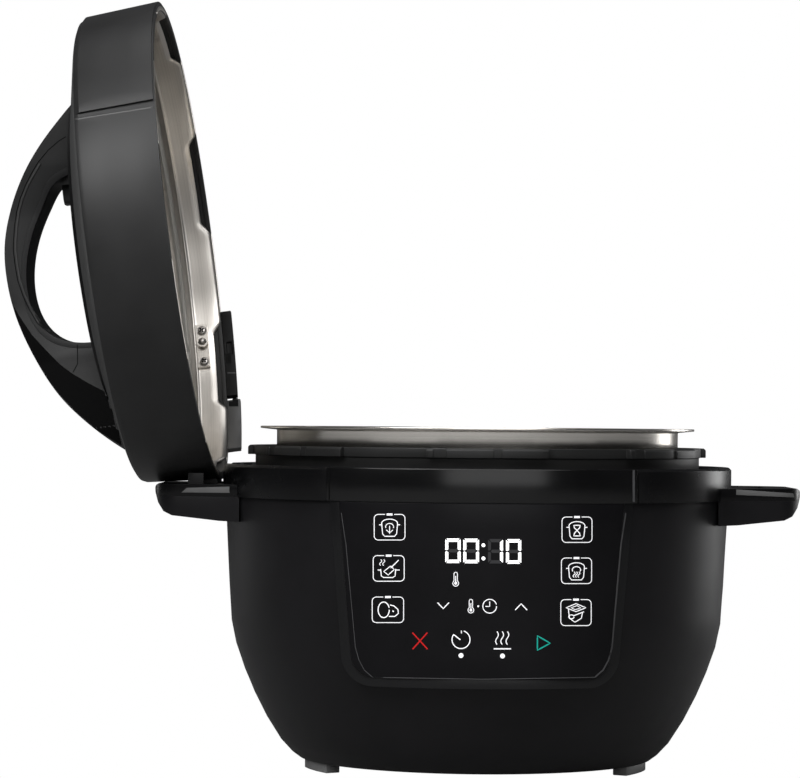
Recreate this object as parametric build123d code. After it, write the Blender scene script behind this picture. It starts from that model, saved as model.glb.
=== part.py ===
"""Multicooker with its lid parked upright in the left handle, in millimetres, +Z up, front towards -Y."""
from math import cos, radians, sin
import os

from build123d import *

# Radii about the pot axis, each from the one inside it: a change of POT_R widens the whole part
POT_R = 129.0
POT_FLANGE_R = POT_R + 10.5
OUTER_POT_R = POT_R + 3.5
SEAT_R = POT_FLANGE_R + 0.1
NECK_R = SEAT_R + 3.0
MOAT_R_IN = NECK_R + 0.6
COLLAR_GAP_R = NECK_R + 1.0
HOOK_R = COLLAR_GAP_R + 1.2
COLLAR_R = NECK_R + 4.9
LINER_R = COLLAR_R + 1.9
LID_TOP_R = LINER_R + 1.2
LID_R = LID_TOP_R + 3.9
CROWN_R = LID_TOP_R - 51.1
MOAT_R_OUT = LID_R + 3.0
BAND_R = MOAT_R_OUT + 5.8
FACE_TOP_R = BAND_R + 0.4
FACE_LOW_R = BAND_R - 6.1
WAIST_R = BAND_R - 6.3
BODY_BASE_R = BAND_R - 50.3

# Heights above the worktop, and of the lid above its own rim
FOOT_H = 6.0
SEAM_Z = 172.5
BAND_TOP = 193.0
MOAT_Z = 178.0
COLLAR_Z = (199.0, 205.0)
POT_BOTTOM = 72.0
POT_TOP = 217.3
RIM_Z = 195.5
RING_H = 51.6
CROWN_TOP = 66.5
SKIRT_DROP = 7.4
POST_DROP = 9.2
SLOT_FLOOR = 167.0

# Walls and clearances
WALL = 3.0
POT_WALL = 1.2
GAP = 0.06

# Outline of the housing as (radius, height), from the seam down
BODY_PROFILE = [(BAND_R - 2.1, SEAM_Z), (BAND_R - 2.7, 155.0), (BAND_R - 4.7, 117.0), (WAIST_R, 93.0)]
BODY_LOWER = [
    (WAIST_R, 93.0), (WAIST_R - 3.1, 78.0), (WAIST_R - 8.7, 62.0), (WAIST_R - 15.1, 47.0), (WAIST_R - 23.0, 31.5),
    (WAIST_R - 32.2, 17.0), (WAIST_R - 39.1, 9.6),
]

# Control panel
PANEL_HALF_TOP = 91.5
PANEL_HALF_LOW = 82.6
PANEL_LOW_Z = 61.5
PANEL_CORNER = 19.0
PANEL_RIM = 5.5
BAND_HALF_ANGLE = 34.9

# Bayonet between collar and lid
LUG_COUNT = 7
LUG_PITCH = 360.0 / LUG_COUNT
GAP_WIDTH = 22.4
GAP_CENTRE = 297.0
PIN_ANGLE = 114.8
PIN_Z = 13.5

# Parking fin, and the line along the left handle's slot that the lid turns about
FIN_LENGTH = 12.0
FIN_HALF_W = 16.0
PIVOT = (0.6 - LID_R, 184.6)
OPEN_ANGLE = 97.7
LID_TURN = -1.9

# Side handles
HANDLE_TIP = BAND_R + 42.1
HANDLE_TOP = 180.3
HANDLE_HALF_ROOT = 56.0
HANDLE_HALF_TIP = 40.0
SLOT_X = (LID_R + 3.5, LID_R + 29.5)
RIB_X = (LID_R + 18.9, LID_R + 28.7)
RIB_Y = (40.0, 46.0)
RIB_TOP = 187.2
SLOT_HALF_W = 24.0


def group(shapes):
    """Several loose solids as one node."""
    return Compound([solid for shape in shapes for solid in shape.solids()])


def ring(r_out, r_in, z0, z1):
    """Flat ring or tube about the pot axis."""
    body = Pos(0, 0, z0) * Cylinder(r_out, z1 - z0, align=(Align.CENTER, Align.CENTER, Align.MIN))
    if r_in > 0:
        bore = Pos(0, 0, z0 - 1) * Cylinder(r_in, z1 - z0 + 2, align=(Align.CENTER, Align.CENTER, Align.MIN))
        body = body - bore
    return body


def turned(points):
    """Solid of revolution from a closed outline of (radius, height) points."""
    outline = Polyline(*[(r, 0, z) for r, z in points], close=True)
    return revolve(make_face(outline), Axis.Z, 360)


def arc_block(r_in, r_out, z0, z1, centre, half):
    """Part of a ring that spans centre - half to centre + half degrees."""
    points = [(r_in, 0, z0), (r_out, 0, z0), (r_out, 0, z1), (r_in, 0, z1)]
    section = make_face(Polyline(*points, close=True))
    return Rot(0, 0, centre - half) * revolve(section, Axis.Z, 2 * half)


def box(x0, x1, y0, y1, z0, z1):
    """Box from its limits."""
    return Pos((x0 + x1) / 2, (y0 + y1) / 2, (z0 + z1) / 2) * Box(x1 - x0, y1 - y0, z1 - z0)


def rod(x, y, z0, z1, r):
    """Upright rod."""
    return Pos(x, y, z0) * Cylinder(r, z1 - z0, align=(Align.CENTER, Align.CENTER, Align.MIN))


def radial_rod(angle, z, r0, r1, radius):
    """Rod that lies along a radius."""
    stick = Pos(r0, 0, z) * Rot(0, 90, 0) * Cylinder(radius, r1 - r0, align=(Align.CENTER, Align.CENTER, Align.MIN))
    return Rot(0, 0, angle) * stick


def polar(radius, angle):
    """Plan position of a radius and an angle."""
    return radius * cos(radians(angle)), radius * sin(radians(angle))


def outer_profile(extra=0.0):
    """Outer outline of the housing from its lower edge to the seam."""
    lower = [(r + extra, z) for r, z in reversed(BODY_LOWER)]
    upper = [(r + extra, z) for r, z in reversed(BODY_PROFILE[:-1])]
    return [(BODY_BASE_R + extra, FOOT_H)] + lower + upper


def housing_solid(extra=0.0):
    """Filled housing."""
    points = outer_profile(extra)
    return turned([(0, FOOT_H)] + points + [(0, SEAM_Z)])


def panel_prism(margin):
    """Forward prism of the control panel's outline, margin inside its outer edge."""
    top = SEAM_Z
    low = PANEL_LOW_Z + margin
    half_top, half_low = PANEL_HALF_TOP - margin, PANEL_HALF_LOW - margin
    corners = [(-half_top, top), (half_top, top), (half_low, low), (-half_low, low)]
    face = make_face(Polyline(*[(x, 0, z) for x, z in corners], close=True))
    prism = extrude(face, BAND_R + 40, dir=(0, -1, 0))
    edges = prism.edges().filter_by(Axis.Y).sort_by(Axis.Z)[:2]
    return fillet(edges, PANEL_CORNER - margin)


def panel_face(depth):
    """Solid of revolution that ends a depth below the face of the control overlay."""
    top, low = FACE_TOP_R - depth, FACE_LOW_R - depth
    return turned([(0, 40), (low + 0.1, 40), (low, PANEL_LOW_Z - 0.5), (top, SEAM_Z), (top, SEAM_Z + 0.1), (0, SEAM_Z + 0.1)])


# Base

def build_base():
    """Everything that stands still on the worktop."""
    parts = {}
    inner = [(max(r - WALL, 0), z + (WALL if z < 90 else 0)) for r, z in outer_profile()]
    inner[0] = (BODY_BASE_R - WALL, FOOT_H + WALL)
    cavity = turned([(0, FOOT_H + WALL)] + inner + [(0, SEAM_Z)])
    housing = housing_solid() - cavity
    housing -= ring(BODY_BASE_R - 13, 0, FOOT_H - 1, FOOT_H + WALL + 1)
    housing -= box(-62, 62, -BAND_R - 30, -BAND_R + 60, 96, 160)
    socket_angle = 62
    housing -= Rot(0, 0, socket_angle) * box(WAIST_R - 27, WAIST_R + 13, -15, 15, 93, 115)
    housing -= radial_rod(90, 142, BAND_R - 13, BAND_R + 7, 2.0)
    for x in (-30, 30):
        housing -= Pos(x, 0, 0) * radial_rod(90, 128, BAND_R - 23, BAND_R + 7, 1.6)
    parts["outer_housing"] = housing

    bezel = (panel_face(0.95) & panel_prism(0)) - housing_solid(GAP)
    overlay = (panel_face(0) & panel_prism(PANEL_RIM)) - panel_face(1.8)
    pocket = (panel_face(-8) & panel_prism(PANEL_RIM - GAP)) - panel_face(1.8 + GAP)
    bezel = bezel - pocket
    bezel = bezel - box(-34.4, 34.4, -BAND_R - 30, -BAND_R + 60, 127.6, 160.4)
    parts["control_bezel"] = bezel.solids().sort_by(SortBy.VOLUME)[-1]
    overlay = overlay - box(-120, 120, -BAND_R - 30, 0, SEAM_Z - 0.1, 200)
    parts["control_overlay"] = overlay

    parts["display_module"] = box(-34, 34, -FACE_TOP_R + 9.1, -FACE_TOP_R + 22.3, 128, 160)
    parts["control_board"] = box(-56, 56, -FACE_TOP_R + 22.4, -FACE_TOP_R + 24, 93, 167)

    band = turned([
        (BAND_R, SEAM_Z + GAP), (BAND_R, BAND_TOP - 1.6), (BAND_R - 1.6, BAND_TOP), (MOAT_R_OUT + 0.8, BAND_TOP),
        (MOAT_R_OUT, BAND_TOP - 0.8), (MOAT_R_OUT, MOAT_Z + 2), (MOAT_R_IN + 1.5, MOAT_Z),
        (MOAT_R_IN + 1.5, MOAT_Z + 6), (MOAT_R_IN, MOAT_Z + 6), (MOAT_R_IN, MOAT_Z - 2),
        (BAND_R - 8.1, MOAT_Z - 2), (BAND_R - 8.1, 166.0), (BAND_R - 5.9, 166.0), (BAND_R - 5.9, SEAM_Z + GAP),
    ])
    band -= arc_block(BAND_R - 1.8, BAND_R + 7, SEAM_Z - 2, BAND_TOP + 1, 270, BAND_HALF_ANGLE + 0.2)
    band -= Rot(0, 0, LID_TURN) * box(-BAND_R - 2, -MOAT_R_OUT + 0.6, -SLOT_HALF_W, SLOT_HALF_W, BAND_TOP - 3.2, 200)
    parts["top_ring"] = band
    front = arc_block(BAND_R - 1.74, BAND_R + 0.6, SEAM_Z + GAP, BAND_TOP - 0.2, 270, BAND_HALF_ANGLE)
    parts["front_band"] = front

    neck = turned([
        (NECK_R, 170), (NECK_R, COLLAR_Z[0]), (COLLAR_R, COLLAR_Z[0]), (COLLAR_R, COLLAR_Z[1] - 1.2),
        (COLLAR_R - 1.2, COLLAR_Z[1]), (SEAT_R + 0.4, COLLAR_Z[1]), (SEAT_R + 0.4, 197.2), (SEAT_R - 4.6, 197.2),
        (SEAT_R - 4.6, 194.5), (SEAT_R - 0.2, 192.0), (SEAT_R - 0.2, 170),
    ])
    for i in range(LUG_COUNT):
        centre = GAP_CENTRE + i * LUG_PITCH
        neck -= arc_block(COLLAR_GAP_R, COLLAR_R + 2, COLLAR_Z[0] - 0.5, COLLAR_Z[1] + 1, centre, GAP_WIDTH / 2)
        neck -= arc_block(COLLAR_R - 0.9, COLLAR_R + 2, COLLAR_Z[0] - 1, COLLAR_Z[1] + 1, centre - 23.4, 1.0)
        neck -= arc_block(COLLAR_R - 0.9, COLLAR_R + 2, COLLAR_Z[0] - 1, COLLAR_Z[1] + 1, centre + 14.4, 1.6)
    parts["locking_collar"] = neck

    parts["outer_pot"] = turned([
        (OUTER_POT_R, 60.5), (OUTER_POT_R, 197.3), (SEAT_R, 197.3), (SEAT_R, 198.4), (OUTER_POT_R - 1.1, 198.4),
        (OUTER_POT_R - 1.1, 61.0), (OUTER_POT_R - 4.5, 58.6), (40, 58.6), (40, 57.4), (OUTER_POT_R - 4, 57.4),
    ])
    plate = ring(POT_R - 17, 23, 62.2, POT_BOTTOM - 0.05)
    groove = Pos(0, 0, 63.0) * Torus(76, 3.5)
    parts["heating_plate"] = plate - groove
    parts["heating_element"] = Pos(0, 0, 63.0) * Torus(76, 3.4)
    spacers = [rod(*polar(POT_R - 27, a), 58.65, 62.15, 5) for a in (30, 150, 270)]
    parts["plate_spacers"] = group(spacers)

    holder = turned([(19.5, 44), (19.5, 57.3), (44, 57.3), (44, 56.0), (21, 56.0), (21, 42.6), (4.3, 42.6), (4.3, 44)])
    parts["sensor_holder"] = holder
    fuse = Rot(0, 0, 200) * box(OUTER_POT_R + 0.1, OUTER_POT_R + 5, -12, 12, 92, 99)
    outer_tube = ring(OUTER_POT_R + 0.1, 0, 80, 120)
    parts["thermal_cutout"] = fuse - outer_tube

    cover = ring(BODY_BASE_R - 13.3, 0, FOOT_H + 0.2, FOOT_H + 2.8)
    screw_r = BODY_BASE_R - 10
    for a in range(0, 360, 30):
        cover -= Rot(0, 0, a) * box(55, 85, -2.2, 2.2, 0, 20)
    for x in (-46, 46):
        for y in (-30, 30):
            cover += rod(x, y, FOOT_H + 2.0, 16.0, 4)
    for a in (45, 135, 225, 315):
        cover += Rot(0, 0, a) * box(screw_r - 11, screw_r + 3, -6, 6, FOOT_H + 3.1, FOOT_H + 5.6)
        cover += Rot(0, 0, a) * box(screw_r - 11, screw_r - 4, -6, 6, FOOT_H + 2.0, FOOT_H + 5.6)
        cover -= rod(*polar(screw_r, a), 0, 20, 1.7)
        parts["outer_housing"] -= rod(*polar(screw_r, a), 0, 20, 1.7)
        parts["outer_housing"] -= rod(*polar(screw_r, a), 0, FOOT_H + 1.2, 3.4)
    parts["bottom_cover"] = cover
    screws = []
    for a in (45, 135, 225, 315):
        x, y = polar(screw_r, a)
        screws.append(rod(x, y, FOOT_H + 0.1, FOOT_H + 1.1, 3.2) + rod(x, y, FOOT_H + 1.0, FOOT_H + 9, 1.6))
    parts["cover_screws"] = group(screws)
    feet = [arc_block(BODY_BASE_R - 12, BODY_BASE_R - 2, 0, FOOT_H - 0.02, a, 10) for a in (22, 158, 202, 338)]
    parts["feet"] = group(feet)

    parts["power_board"] = box(-52, 52, -36, 36, 16.1, 17.7)
    blocks = box(-40, -14, -26, 2, 17.8, 36) + box(4, 16, -28, -12, 17.8, 34) + box(22, 44, 6, 28, 17.8, 32)
    blocks += rod(-30, 20, 17.8, 38, 8) + rod(-6, 18, 17.8, 34, 6)
    parts["board_parts"] = group([blocks])

    shroud = box(WAIST_R - 17.5, WAIST_R + 3.0, -14.6, 14.6, 93.4, 114.6)
    recess = box(WAIST_R - 13, WAIST_R + 13, -11, 11, 97, 111)
    frame = box(WAIST_R + 1.2, WAIST_R + 3.6, -18, 18, 89, 119) - recess
    socket = Rot(0, 0, socket_angle) * frame - housing_solid(GAP) + Rot(0, 0, socket_angle) * (shroud - recess)
    parts["inlet_socket"] = socket
    pins = [box(WAIST_R - 12.95, WAIST_R - 5, y - 1, y + 1, z - 2, z + 2) for y, z in ((-6, 102), (6, 102), (0, 106.5))]
    parts["inlet_pins"] = group([Rot(0, 0, socket_angle) * p for p in pins])

    back = BAND_R + 1.9
    bracket = box(-34, 34, back - 9.2, back - 0.7, 122, 134) - housing_solid(GAP)
    for x in (-22, 22):
        bracket += box(x - 4, x + 4, back - 2.2, back + 30.8, 125.5, 129.5)
    parts["cup_bracket"] = bracket.solids().sort_by(SortBy.VOLUME)[-1]
    cup = box(-36, 36, back, back + 32.8, 118, 166)
    cup = fillet(cup.edges().filter_by(Axis.Z), 7)
    hollow = box(-34, 34, back + 2, back + 30.8, 138, 170)
    hollow = fillet(hollow.edges().filter_by(Axis.Z), 5)
    cup -= hollow
    for x in (-22, 22):
        cup -= box(x - 4.3, x + 4.3, back - 5, back + 31.2, 125.2, 129.8)
    parts["condensation_cup"] = cup

    for name, side in (("left", -1), ("right", 1)):
        parts.update(build_handle(name, side))
    return parts


def build_handle(name, side):
    """Side handle: lower grip, top cap and its two screws."""
    root, knee = BAND_R - 13.3, BAND_R + 8.7
    plan = Polyline((root, -HANDLE_HALF_ROOT - 6), (knee, -HANDLE_HALF_ROOT + 4), (HANDLE_TIP, -HANDLE_HALF_TIP),
                    (HANDLE_TIP, HANDLE_HALF_TIP), (knee, HANDLE_HALF_ROOT - 4), (root, HANDLE_HALF_ROOT + 6), close=True)
    column = extrude(make_face(plan), 220)
    column = fillet(column.edges().filter_by(Axis.Z).sort_by(Axis.X)[-2:], 24)
    outline = [(root, 157.0), (BAND_R - 0.3, 157.4), (HANDLE_TIP - 12, 160.3), (HANDLE_TIP - 6.4, 162.8),
               (HANDLE_TIP - 2.6, 168.2), (HANDLE_TIP - 0.4, 174.6), (HANDLE_TIP, 177.4),
               (HANDLE_TIP - 0.9, HANDLE_TOP - 1.2), (HANDLE_TIP - 2.8, HANDLE_TOP), (root, HANDLE_TOP)]
    slab = extrude(make_face(Polyline(*[(x, 0, z) for x, z in outline], close=True)), 90, both=True)
    body = column & slab
    body -= ring(BAND_R + GAP, 0, SEAM_Z - 0.02, 220)
    body -= housing_solid(GAP)
    body -= box(SLOT_X[0], SLOT_X[1], -SLOT_HALF_W, SLOT_HALF_W, SLOT_FLOOR, 200)
    under = box(knee, HANDLE_TIP - 8, -34, 34, 150, 163.5)
    body -= fillet(under.edges().filter_by(Axis.Z), 10)
    split = SEAM_Z + 0.1
    cap = body & box(0, HANDLE_TIP + 50, -90, 90, split, 220)
    if side < 0:
        cap += box(RIB_X[0], RIB_X[1], RIB_Y[0], RIB_Y[1], HANDLE_TOP - 1, RIB_TOP)
    grip = body & box(0, HANDLE_TIP + 50, -90, 90, 100, split - GAP)
    screws = []
    for y in (-42, 42):
        x = knee
        cap -= rod(x, y, 100, 178, 1.9)
        grip -= rod(x, y, 100, 180, 1.9) + rod(x, y, 100, 162, 3.6)
        screws.append(rod(x, y, 160.4, 161.95, 3.4) + rod(x, y, 161.9, 177.8, 1.8))
    result = {name + "_handle": grip, name + "_handle_cap": cap, name + "_handle_screws": group(screws)}
    if side < 0:
        result = {key: Rot(0, 0, 180) * value for key, value in result.items()}
    return result


def build_pot():
    """Lift-out cooking pot."""
    pot = turned([
        (0, POT_BOTTOM), (POT_R - 8, POT_BOTTOM), (POT_R - 2.4, POT_BOTTOM + 2.4), (POT_R, POT_BOTTOM + 8),
        (POT_R, POT_TOP - 2.4), (POT_FLANGE_R, POT_TOP - 1.4), (POT_FLANGE_R, POT_TOP), (POT_R - POT_WALL, POT_TOP),
        (POT_R - POT_WALL, POT_BOTTOM + 9), (POT_R - 3.6, POT_BOTTOM + 4.4), (POT_R - 9, POT_BOTTOM + 2.6),
        (0, POT_BOTTOM + 2.6),
    ])
    return {"inner_pot": pot}


def build_sensor():
    """Temperature sensor that the pot presses down, and its spring."""
    top = POT_BOTTOM - 0.04
    cup = turned([(0, top), (17.5, top), (17.5, 58), (16, 58), (16, top - 2), (3.9, top - 4), (3.9, 36), (0, 36)])
    helix = Helix(pitch=3.6, height=23.2, radius=9)
    profile = Plane(origin=helix @ 0, z_dir=helix % 0) * Circle(0.6)
    spring = Pos(0, 0, 44.75) * sweep(profile, path=helix)
    return {"sensor_cup": cup}, {"sensor_spring": spring}


# Lid

def lid_under():
    """Everything below the lid's outer surface."""
    return turned([(0, 0), (LID_R, 0), (LID_TOP_R, 47.6), (LID_TOP_R - 3.8, RING_H), (CROWN_R + 4.5, 61.0),
                   (CROWN_R, 61.0), (CROWN_R - 2.1, 63.8), (CROWN_R - 19.5, 65.6), (0, CROWN_TOP)])


def handle_profile(points, depth):
    """Extrusion across the lid of a side-view outline: a smooth line that is closed by a straight one."""
    spread = CROWN_R / 99.5
    line = Spline(*[(x * spread, 0, z) for x, z in points])
    face = make_face([line, Line(line @ 1, line @ 0)])
    return extrude(face, depth, both=True)


ARCH_OUTER = [
    (104, 50), (97.5, 61), (88.4, 71.4), (76.9, 83.1), (65.3, 93.2), (47.3, 105.3), (28.8, 114.0), (9.8, 119.0),
    (-9.7, 120.0), (-29.4, 118.0), (-49.5, 112.6), (-70, 104.4), (-90.6, 92.8), (-104.8, 81.2), (-119.6, 66.2),
    (-127.5, 56.8), (-134.5, 47),
]
GRIP_GAP = [
    (52, 60), (51.4, 72), (47, 81.5), (36, 89.6), (21, 98), (7.1, 103.6), (-8.6, 107.0), (-24.9, 107.0),
    (-39, 103.0), (-49, 95.2), (-55, 83), (-56, 60),
]
GRIP_SKIN = [
    (56.5, 60), (55.8, 74), (50.8, 84.2), (38, 92.8), (22.4, 101.4), (8, 107.1), (-8.6, 110.5), (-25.4, 110.5),
    (-41, 106.2), (-52, 98), (-58.6, 84.6), (-59.8, 60),
]


def build_lid():
    """Lid pieces in the lid's own frame, sorted by the body that they move with."""
    lid = {}
    shell = turned([
        (LID_R, 0), (LID_TOP_R, 47.6), (LID_TOP_R - 1.2, 50.4), (LID_TOP_R - 3.8, RING_H), (CROWN_R + 4.5, 61.0),
        (CROWN_R + 0.7, 61.0), (CROWN_R + 0.7, 58.4), (CROWN_R + 4.5, 58.4), (LID_TOP_R - 4.8, 49.0),
        (LID_TOP_R - 2.7, 46.5), (LID_R - 3.2, 3.0), (LINER_R + 0.4, 2.6), (LINER_R + 0.4, 0),
    ])
    step = turned([(LID_R - 1, 0.8), (LID_R + 1.6, 0.8), (LID_TOP_R + 1.6, 47), (LID_TOP_R - 1, 49.6)])
    wedge = arc_block(CROWN_R, LID_R + 25, -5, 80, 0, 59)
    step = step & wedge
    fin = box(-LID_R - FIN_LENGTH, -LID_R + 1, -FIN_HALF_W, FIN_HALF_W, 1.7, 10.6)
    fin = fillet(fin.edges().filter_by(Axis.Z).sort_by(Axis.X)[:2], 3)
    lid["lid_ring"] = shell + step + fin

    crown = turned([
        (0, CROWN_TOP), (CROWN_R - 19.5, 65.6), (CROWN_R - 2.1, 63.8), (CROWN_R, 61.0), (CROWN_R, 58.3),
        (CROWN_R + 4, 58.3), (CROWN_R + 6.5, 57.6), (CROWN_R + 6.5, 55.4), (CROWN_R - 1.5, 55.4),
        (CROWN_R - 3, 60.0), (CROWN_R - 19.5, 62.6), (0, 63.5),
    ])
    valve = (62, 46)
    float_at = (62, -46)
    button = (40.5, 0)
    crown -= rod(*valve, 40, 80, 4.1)
    crown -= rod(*float_at, 40, 80, 5.4)
    crown -= box(33.4, 47.6, -9.6, 9.6, 50, 80)
    arch = handle_profile(ARCH_OUTER, 60)
    plan_points = [(112, -30), (60, -24), (30, -18.5), (-30, -18.5), (-66, -23), (-112, -33), (-140, -36),
                   (-140, 36), (-112, 33), (-66, 23), (-30, 18.5), (30, 18.5), (60, 24), (112, 30)]
    plan = extrude(make_face(Polyline(*[(x, y, 40) for x, y in plan_points], close=True)), 90)
    arch = (arch & plan) - lid_under()
    skin = (arch & handle_profile(GRIP_SKIN, 60)) - handle_profile(GRIP_GAP, 60)
    outer = arch - handle_profile(GRIP_SKIN, 60)
    shell_parts = outer.solids().sort_by(SortBy.VOLUME)
    lid["arch_handle"] = shell_parts[-1]
    lid["handle_grip"] = skin.solids().sort_by(SortBy.VOLUME)[-1]
    screws = []
    for x, y in ((80, -12), (80, 12), (-80, -12), (-80, 12)):
        crown -= rod(x, y, 40, 80, 2.0)
        lid["arch_handle"] -= rod(x, y, 40, 79, 1.9)
        screws.append(rod(x, y, 60.4, 62.0, 3.6) + rod(x, y, 61, 78.5, 1.85))
    lid["crown_screws"] = group(screws)
    crown -= rod(80, -12, 50, 62.4, 3.8) + rod(80, 12, 50, 62.4, 3.8)
    crown -= rod(-80, -12, 50, 62.4, 3.8) + rod(-80, 12, 50, 62.4, 3.8)
    lid["lid_crown"] = crown

    liner = turned([
        (LINER_R, 0.8), (LINER_R, 24), (LINER_R - 1.8, 32.0), (LINER_R - 3.8, 34.6), (LINER_R - 9.4, 35.4),
        (CROWN_R, 39.8), (0, 44.2), (0, 43.0), (CROWN_R, 38.6), (LINER_R - 9.4, 34.2), (LINER_R - 4.4, 33.4),
        (LINER_R - 2.9, 31.6), (LINER_R - 1.2, 23.8), (LINER_R - 1.2, 0.8),
    ])
    for i in range(LUG_COUNT):
        liner -= arc_block(LINER_R - 9, LINER_R + 10, -1, 3.4, 19.5 + i * LUG_PITCH, 13.6)
        liner -= arc_block(LINER_R - 9, LINER_R + 10, -1, 6.4, 19.5 + i * LUG_PITCH, 11.2)
        liner += arc_block(HOOK_R, LINER_R - 0.6, 0.8, 2.8, 42.4 + i * LUG_PITCH, 5.6)
    liner -= radial_rod(PIN_ANGLE, PIN_Z, LINER_R - 9, LINER_R + 10, 2.7)
    liner -= rod(*valve, 30, 50, 4.1)
    liner -= rod(*float_at, 30, 50, 5.4)
    lid["steel_liner"] = liner
    seal_r = LINER_R - 3.0
    lid["sealing_ring"] = turned([
        (seal_r, 31.4), (seal_r, 24.0), (seal_r - 1.9, 22.3), (seal_r - 18.9, 22.3), (seal_r - 20, 23.2),
        (seal_r - 19.2, 24.8), (seal_r - 3, 24.8), (seal_r - 3, 29.2), (seal_r - 6.4, 29.8), (seal_r - 6.4, 31.4),
    ])
    rack_r = seal_r - 3.8
    rack = ring(rack_r, rack_r - 2, 25.2, 28.8)
    for i in range(6):
        rack += arc_block(rack_r - 6.2, rack_r - 1.7, 25.6, 27.0, i * 60 + 12, 1.6)
        rack += arc_block(rack_r - 6.2, rack_r - 4.6, 25.6, 34.1, i * 60 + 12, 1.6)
    lid["ring_rack"] = rack
    pipe = ring(4.0, 2.2, 30, 68) + ring(6.4, 3.9, 44.6, 46.4)
    lid["steam_pipe"] = Pos(*valve, 0) * pipe
    shield = ring(15, 13.8, 31, 38.5) + ring(15, 4.0 + GAP, 30, 31.2)
    for i in range(8):
        shield -= radial_rod(i * 45, 35, 10, 20, 1.8)
    lid["pipe_shield"] = Pos(*valve, 0) * shield
    housing = ring(5.3, 4.1, 39.5, 63) + ring(8, 5.2, 44.6, 46.2)
    lid["float_housing"] = Pos(*float_at, 0) * housing
    plate = arc_block(LINER_R - 3.2, LINER_R - 1.26, PIN_Z - 3.8, PIN_Z + 4.5, PIN_ANGLE + 0.7, 6.4)
    plate -= radial_rod(PIN_ANGLE, PIN_Z, LINER_R - 9, LINER_R + 10, 2.7)
    screws = []
    for a in (PIN_ANGLE - 3.8, PIN_ANGLE + 5.6):
        plate -= radial_rod(a, PIN_Z, LINER_R - 9, LINER_R + 10, 1.5)
        lid["steel_liner"] -= radial_rod(a, PIN_Z, LINER_R - 9, LINER_R + 10, 1.5)
        head = radial_rod(a, PIN_Z, LINER_R - 4.5, LINER_R - 3.25, 3.0)
        screws.append(head + radial_rod(a, PIN_Z, LINER_R - 3.4, LINER_R + 0.7, 1.4))
    lid["pin_bracket"] = plate
    lid["bracket_screws"] = group(screws)
    skirt_r = LINER_R + 0.6
    skirt = arc_block(skirt_r, skirt_r + 3.6, -SKIRT_DROP, -0.04, 118.6, 12.9)
    skirt -= arc_block(skirt_r - 1, skirt_r + 1.4, -6.0, -2.2, 116.4, 1.9)
    lid["lid_skirt"] = skirt
    lid["skirt_post"] = arc_block(skirt_r + 0.3, skirt_r + 3.3, -POST_DROP, -0.04, 143.6, 10.6)

    valve_cap = ring(13, 0, 74, 84) + ring(11, 0, 68.4, 74.2) - ring(4.15, 0, 60, 79) + ring(3.2, 0, 79, 80)
    lid_cap = {"valve_cap": Pos(*valve, 0) * valve_cap}
    press = box(34, 47, -9, 9, 61, 78.5)
    press = fillet(press.edges().filter_by(Axis.Z), 4)
    press = press + box(32, 49, -11, 11, 60.4, 62.4)
    lid_button = {"release_button": press}
    pin = Pos(*float_at, 0) * (ring(4.04, 0, 34.8, 65.4) + ring(2.6, 0, 30.6, 35))
    seal = Pos(*float_at, 0) * (ring(7.4, 2.62, 31, 34.7))
    lid_float = {"float_pin": pin, "float_seal": seal}
    lock = radial_rod(PIN_ANGLE, PIN_Z, LINER_R - 5.1, LINER_R + 0.6, 2.6)
    lock += radial_rod(PIN_ANGLE, PIN_Z, LINER_R - 6.5, LINER_R - 4.9, 3.8)
    lid_lock = {"lock_pin": lock}
    return {"lid": lid, "valve_cap": lid_cap, "release_button": lid_button, "float": lid_float, "lock_pin": lid_lock}


def lid_place():
    """Parked position of the lid's own frame."""
    about = Pos(PIVOT[0], 0, PIVOT[1]) * Rot(0, -OPEN_ANGLE, 0) * Pos(-PIVOT[0], 0, -PIVOT[1])
    return Rot(0, 0, LID_TURN) * about * Pos(0, 0, RIM_Z)


def assemble():
    """All bodies in their rest positions about the pot axis."""
    sensor, spring = build_sensor()
    bodies = {"base": build_base(), "pot": build_pot(), "sensor": sensor}
    bodies["base"].update(spring)
    bodies["cup"] = {"condensation_cup": bodies["base"].pop("condensation_cup")}
    place = lid_place()
    for body, nodes in build_lid().items():
        bodies[body] = {name: place * shape for name, shape in nodes.items()}
    return bodies


def shift_to_centre(bodies):
    """Move that puts the origin below the middle of the whole part's bounding box."""
    boxes = [shape.bounding_box() for nodes in bodies.values() for shape in nodes.values()]
    x = (min(b.min.X for b in boxes) + max(b.max.X for b in boxes)) / 2
    y = (min(b.min.Y for b in boxes) + max(b.max.Y for b in boxes)) / 2
    return round(-x, 1), round(-y, 1)


def main():
    """Write every node as its own STEP file."""
    os.makedirs("parts", exist_ok=True)
    bodies = assemble()
    dx, dy = shift_to_centre(bodies)
    print("shift", dx, dy)
    for body, nodes in bodies.items():
        for name, shape in nodes.items():
            export_step(Pos(dx, dy, 0) * shape, "parts/" + name + ".step")
            print(body, name, len(shape.solids()), round(shape.volume))


if __name__ == "__main__":
    main()
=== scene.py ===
import math

import bpy
import bmesh
from mathutils import Matrix, Vector
from mathutils.bvhtree import BVHTree


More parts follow.
